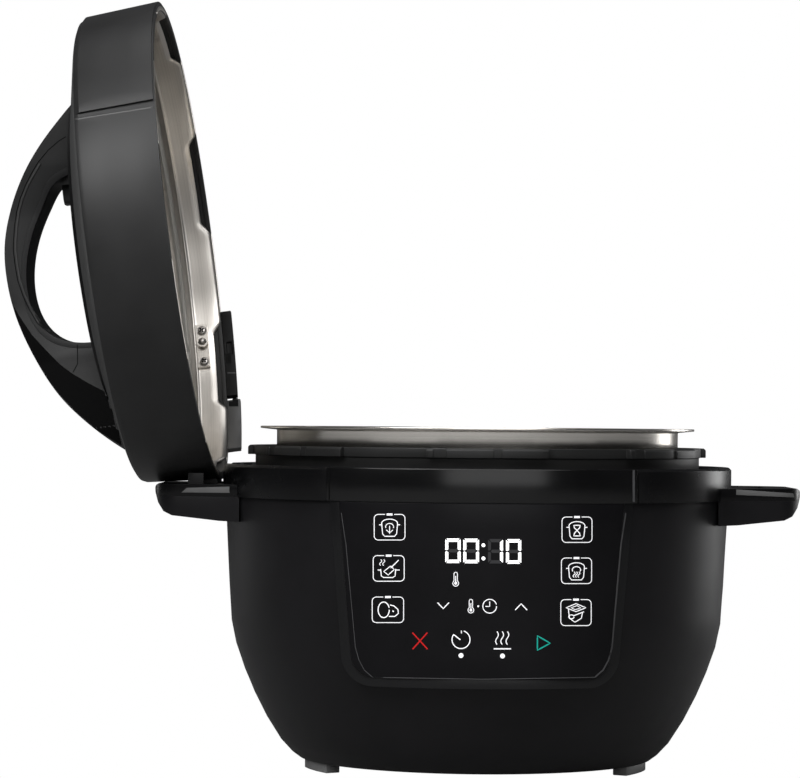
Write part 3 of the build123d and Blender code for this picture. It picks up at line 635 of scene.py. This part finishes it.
controls = [
    ([(437.5, 602.6), (443.2, 608.6), (449.0, 602.6)], 1.3),
    ([(515.2, 610.0), (521.2, 603.8), (527.0, 610.0)], 1.3),
    (arc(489.7, 606.2, 6.9, 6.9, 0, 345, 26), 1.1), ([(489.7, 601.6), (489.7, 606.4), (485.4, 606.4)], 1.0),
    (thermometer(470.9, 599.4, 613.0), 0.9, True), ([(470.9, 603.0), (470.9, 609.0)], 1.0),
    (thermometer(455.7, 572.2, 586.2), 0.9, True), ([(455.7, 576.0), (455.7, 582.0)], 1.0),
    (arc(461.0, 639.6, 9.0, 9.0, -72, 214, 28), 1.2), ([(461.4, 630.6), (461.4, 633.4)], 1.1),
    ([(453.4, 634.4), (460.4, 639.8)], 1.3),
    (wave(497.0, 631.5, 644.5, 1.4), 1.15), (wave(502.2, 631.5, 644.5, 1.4), 1.15),
    (wave(507.4, 631.5, 644.5, 1.4), 1.15),
    ([(493.8, 648.8), (511.0, 648.8)], 1.5),
]
dots = [arc(470.9, 610.2, 1.4, 1.4, 0, 330, 11), arc(478.2, 606.2, 1.0, 1.0, 0, 315, 7),
        arc(455.7, 583.2, 1.5, 1.5, 0, 330, 11), arc(461.0, 655.5, 2.5, 2.5, 0, 330, 11),
        arc(502.5, 656.0, 2.5, 2.5, 0, 330, 11)]
symbol("control_symbols", WHITE, controls, dots)
symbol("stop_symbol", RED, [([(412.4, 632.6), (427.6, 649.2)], 1.6), ([(412.6, 649.2), (427.4, 632.6)], 1.6)])
symbol("start_symbol", GREEN, [([(537.4, 635.8), (537.4, 650.2), (550.2, 643.2)], 1.6, True)])


# Seams, painted highlights and painted shade that follow the CAD surfaces

# A face that would reach further than this, in metres, spans two surfaces and is left out
MAX_JUMP = 0.006


def surface(*names):
    """Function that puts a pixel of the photograph on the meshes of some CAD nodes."""
    verts, faces = [], []
    for name in names:
        mesh = nodes[name].data
        first = len(verts)
        verts += [v.co.copy() for v in mesh.vertices]
        faces += [[first + i for i in poly.vertices] for poly in mesh.polygons]
    tree = BVHTree.FromPolygons(verts, faces)

    def place(u, v, lift):
        ray = pixel_ray(u, v)
        hit, normal, _, _ = tree.ray_cast(CAM_PLACE, ray)
        if hit is None:
            return None
        return hit + (normal if normal.dot(ray) < 0 else -normal) * lift

    return place


def sides(points, width):
    """Two lines half a width to either side of a pixel line."""
    points = follow(points, False)
    left, right = [], []
    for i, (u, v) in enumerate(points):
        before, after = points[max(i - 1, 0)], points[min(i + 1, len(points) - 1)]
        du, dv = after[0] - before[0], after[1] - before[1]
        length = math.hypot(du, dv) or 1.0
        nu, nv = -dv / length * width / 2, du / length * width / 2
        left.append((u + nu, v + nv))
        right.append((u - nu, v - nv))
    return left, right


def band(bm, left, right, place, lifts):
    """Skin between two pixel lines, with its height above the surface given across it."""
    rows = []
    for (u0, v0), (u1, v1) in zip(left, right):
        row = []
        for k, lift in enumerate(lifts):
            t = k / (len(lifts) - 1)
            spot = place(u0 + (u1 - u0) * t, v0 + (v1 - v0) * t, lift)
            row.append(bm.verts.new(spot) if spot else None)
        rows.append(row)
    for a, b in zip(rows, rows[1:]):
        for k in range(len(lifts) - 1):
            corners = (a[k], b[k], b[k + 1], a[k + 1])
            if all(corners) and max((p.co - corners[0].co).length for p in corners) < MAX_JUMP:
                bm.faces.new(corners)


def spread_points(points, count):
    """The same line as a number of evenly spaced points."""
    lengths = [math.dist(a, b) for a, b in zip(points, points[1:])]
    total = sum(lengths)
    out = []
    for i in range(count):
        target = total * i / (count - 1)
        k = 0
        while k < len(lengths) - 1 and target > lengths[k]:
            target -= lengths[k]
            k += 1
        t = min(target / lengths[k], 1.0)
        (u0, v0), (u1, v1) = points[k], points[k + 1]
        out.append((u0 + (u1 - u0) * t, v0 + (v1 - v0) * t))
    return out


# Heights across a flat line, a wide flat patch, a low raised strip, a rounded bead and a fitted skin
FLAT = (LINE_LIFT,) * 2
PATCH = (LINE_LIFT,) * 6
RAISED = (0.0001, 0.0003, 0.0003, 0.0001)
STEP = (0.00004, 0.0003, 0.0003, 0.00004)
BEAD = (0.00005, 0.00042, 0.0006, 0.00062, 0.0005, 0.00005)
SKIN = (0.00006,) * 14


def detail(name, material, body, place, lines=(), skins=()):
    """Object of lines (points, width, heights) and skins (two edges, heights) laid on a surface."""
    bm = bmesh.new()
    for points, width, lifts in lines:
        band(bm, *sides(points, width), place, lifts)
    for edge_a, edge_b, count, lifts in skins:
        band(bm, spread_points(edge_a, count), spread_points(edge_b, count), place, lifts)
    loose = [v for v in bm.verts if not v.link_faces]
    bmesh.ops.delete(bm, geom=loose, context="VERTS")
    bmesh.ops.recalc_face_normals(bm, faces=bm.faces)
    for face in bm.faces:
        if face.normal.dot(CAM_AHEAD) > 0:
            face.normal_flip()
    return piece(name, bm, material, body)


# Lines in pixels of the photograph, as (across, down)
GROOVE = [(70.5, 133.8), (58.8, 141), (48.3, 150), (37.9, 162.5), (31.3, 173.6), (25.5, 185.3), (20.2, 198.4),
          (16.7, 211.5), (14.6, 225.8), (13.5, 240.2), (13.3, 250), (14.8, 263), (17.6, 280), (22.9, 295.7),
          (29.4, 310), (37.2, 323), (47.7, 332.3), (59.4, 337.8), (68.6, 340.4), (76.4, 341.2)]
CREASE = [(10.4, 300.3), (18.9, 315.3), (32, 334.9), (46.4, 350.6), (60.7, 365), (72.7, 373.8), (90.8, 384.5),
          (111, 394.7)]
UNDERSIDE = [(9.4, 300.3), (16.5, 320), (27, 345), (41, 370), (58, 393), (76, 412), (97, 430), (122, 446)]
RIGHT_EDGE = [(625.6, 513), (621, 544), (615, 611), (612, 647), (608.5, 660), (603, 670), (595, 677)]
LEFT_EDGE = [(341.4, 513), (346, 544), (352.2, 611), (355.4, 647), (359, 660), (364.4, 670), (372.4, 677)]
LOW_EDGE = [(595, 677.3), (484, 679.2), (372.4, 677.3)]
LIP_LINE = [(u + 2.3, v + (1.2 if v < 175 else -0.8 if v > 300 else 0)) for u, v in GROOVE[3:-1]]

# Thin details of the lid
on_handle = surface("arch_handle", "handle_grip", "lid_crown", "lid_ring")
detail("handle_seams", MATERIALS["slot"], "lid", on_handle,
       [(GROOVE, 0.9, FLAT), ([(77.3, 339), (77.7, 363.6), (72.9, 372.6)], 0.9, FLAT)])
# Raised bead along the grip's rounded lip, coloured lighter than the handle as a painted highlight
detail("handle_lip_painted_highlight", MATERIALS["lip"], "lid", on_handle, [(LIP_LINE, 3.0, BEAD)])
# Near-black skin from the crease down the handle's underside: painted shade
detail("handle_underside_painted_shade", MATERIALS["shade_paint"], "lid", on_handle, (),
       [(CREASE, UNDERSIDE, 60, SKIN)])
on_lid = surface("lid_ring")
# Low strip raised on the lid ring's real step, coloured lighter as a painted highlight along its edge
detail("lid_step_painted_highlight", MATERIALS["lip"], "lid", on_lid,
       [([(75.2, 119.2), (155.6, 106.5)], 2.2, STEP)])

# Thin details of the base
on_front = surface("control_bezel", "control_overlay", "outer_housing", "front_band", "top_ring")
# Thin grey lines along the panel's bevelled edges: painted highlights
detail("panel_edge_painted_highlight", MATERIALS["highlight_paint"], "base", on_front,
       [(RIGHT_EDGE, 1.5, FLAT), (LEFT_EDGE, 0.7, FLAT), (LOW_EDGE, 0.8, FLAT)])
# Grey strip beside the front band's right seam: painted highlight
detail("band_edge_painted_highlight", MATERIALS["highlight_paint"], "base", on_front,
       [([(633.6, 470), (633.6, 502)], 2.2, FLAT)])
detail("band_seams", MATERIALS["slot"], "base", on_front,
       [([(329.2, 468), (329.2, 500)], 1.2, FLAT), ([(638.4, 468), (638.4, 503)], 1.2, FLAT)])
on_left_handle = surface("left_handle", "left_handle_cap")
# Raised grey strip along the left handle cap's top edge: painted highlight
detail("left_cap_painted_highlight", MATERIALS["strip"], "base", on_left_handle, (),
       [([(187, 487.8), (229.6, 486.6)], [(181.6, 492.4), (229.6, 492.8)], 20, RAISED)])
on_right_handle = surface("right_handle", "right_handle_cap")
# The same painted highlight along the right handle cap's top edge
detail("right_cap_painted_highlight", MATERIALS["strip"], "base", on_right_handle, (),
       [([(736, 489.4), (793, 493.4)], [(736, 494.8), (794.4, 497.4)], 24, RAISED)])

# Painted shade in the skirt's recesses and painted highlights on its edges, under the lid
on_skirt = surface("lid_skirt", "skirt_post")
# Near-black patches laid on the skirt's recesses: painted shade
detail("skirt_recess_painted_shade", MATERIALS["slot"], "lid", on_skirt, (),
       [([(219, 353.5), (231, 353.5)], [(219, 363.5), (231.5, 363.5)], 8, PATCH),
        ([(225, 398), (238, 398)], [(225, 406.5), (238.5, 406.5)], 8, PATCH)])
# Grey lines along the skirt's and the post's edges: painted highlights
detail("skirt_edge_painted_highlights", MATERIALS["highlight_paint"], "lid", on_skirt,
       [([(219, 373), (236, 373)], 1.0, FLAT), ([(239.6, 408), (240.4, 452)], 2.4, FLAT)])


# Floor, light and camera

FLOOR_GAP = 0.0003
SENSOR_W = 36.0


def stage_floor():
    """Pale floor that the camera sees as plain white."""
    bm = bmesh.new()
    bmesh.ops.create_grid(bm, x_segments=1, y_segments=1, size=30)
    mesh = bpy.data.meshes.new("floor")
    bm.to_mesh(mesh)
    bm.free()
    floor = bpy.data.objects.new("floor", mesh)
    bpy.context.scene.collection.objects.link(floor)
    floor.location = (0, 0, -FLOOR_GAP)
    mat, tree, shader = node_material("pale_floor")
    shader.inputs["Base Color"].default_value = (0.3, 0.3, 0.3, 1)
    shader.inputs["Roughness"].default_value = 0.8
    path = tree.nodes.new("ShaderNodeLightPath")
    plain = tree.nodes.new("ShaderNodeEmission")
    plain.inputs["Color"].default_value = (1, 1, 1, 1)
    mix = tree.nodes.new("ShaderNodeMixShader")
    out = tree.nodes["Material Output"]
    tree.links.new(path.outputs["Is Camera Ray"], mix.inputs["Fac"])
    tree.links.new(shader.outputs["BSDF"], mix.inputs[1])
    tree.links.new(plain.outputs["Emission"], mix.inputs[2])
    tree.links.new(mix.outputs["Shader"], out.inputs["Surface"])
    mesh.materials.append(mat)


def world_light():
    """White to the camera, grey to everything else."""
    world = bpy.data.worlds.new("studio")
    bpy.context.scene.world = world
    world.use_nodes = True
    tree = world.node_tree
    tree.nodes.clear()
    path = tree.nodes.new("ShaderNodeLightPath")
    seen = tree.nodes.new("ShaderNodeBackground")
    seen.inputs["Color"].default_value = (1, 1, 1, 1)
    room = tree.nodes.new("ShaderNodeBackground")
    room.inputs["Color"].default_value = (0.9, 0.92, 0.95, 1)
    room.inputs["Strength"].default_value = 0.06
    mix = tree.nodes.new("ShaderNodeMixShader")
    out = tree.nodes.new("ShaderNodeOutputWorld")
    tree.links.new(path.outputs["Is Camera Ray"], mix.inputs["Fac"])
    tree.links.new(room.outputs["Background"], mix.inputs[1])
    tree.links.new(seen.outputs["Background"], mix.inputs[2])
    tree.links.new(mix.outputs["Shader"], out.inputs["Surface"])


def area_light(name, place, target, size, size_y, power):
    """Soft box aimed at a point."""
    data = bpy.data.lights.new(name, "AREA")
    data.shape = "RECTANGLE"
    data.size = size
    data.size_y = size_y
    data.energy = power
    lamp = bpy.data.objects.new(name, data)
    bpy.context.scene.collection.objects.link(lamp)
    lamp.location = place
    lamp.rotation_euler = (Vector(target) - Vector(place)).to_track_quat("-Z", "Y").to_euler()


stage_floor()
world_light()
area_light("key_left", (-1.45, -1.75, 1.75), (-0.1, 0, 0.3), 1.1, 1.1, 36)
area_light("top_front", (0.1, -1.3, 1.9), (0, 0, 0.25), 2.2, 1.4, 34)
area_light("top", (-0.1, 0.15, 2.0), (-0.1, 0, 0.2), 1.3, 0.9, 6)
area_light("front", (0.4, -3.0, 0.66), (0, 0, 0.25), 2.4, 1.0, 12)
area_light("rim_right", (1.5, 1.2, 0.5), (0.1, 0, 0.2), 0.6, 1.0, 6.5)
area_light("rim_left", (-1.5, 1.3, 0.6), (0, 0, 0.2), 0.5, 1.2, 1.8)

camera_data = bpy.data.cameras.new("camera")
camera_data.sensor_fit = "HORIZONTAL"
camera_data.sensor_width = SENSOR_W
camera_data.lens = SENSOR_W * FOCAL_PX / FRAME_W
camera_data.clip_start = 0.05
camera_data.clip_end = 50
camera = bpy.data.objects.new("camera", camera_data)
bpy.context.scene.collection.objects.link(camera)
basis = Matrix((CAM_SIDE, CAM_UP, -CAM_AHEAD)).transposed()
camera.matrix_world = Matrix.Translation(CAM_PLACE) @ basis.to_4x4()
bpy.context.scene.camera = camera
bpy.context.scene.view_settings.view_transform = "Standard"

bpy.context.view_layer.update()
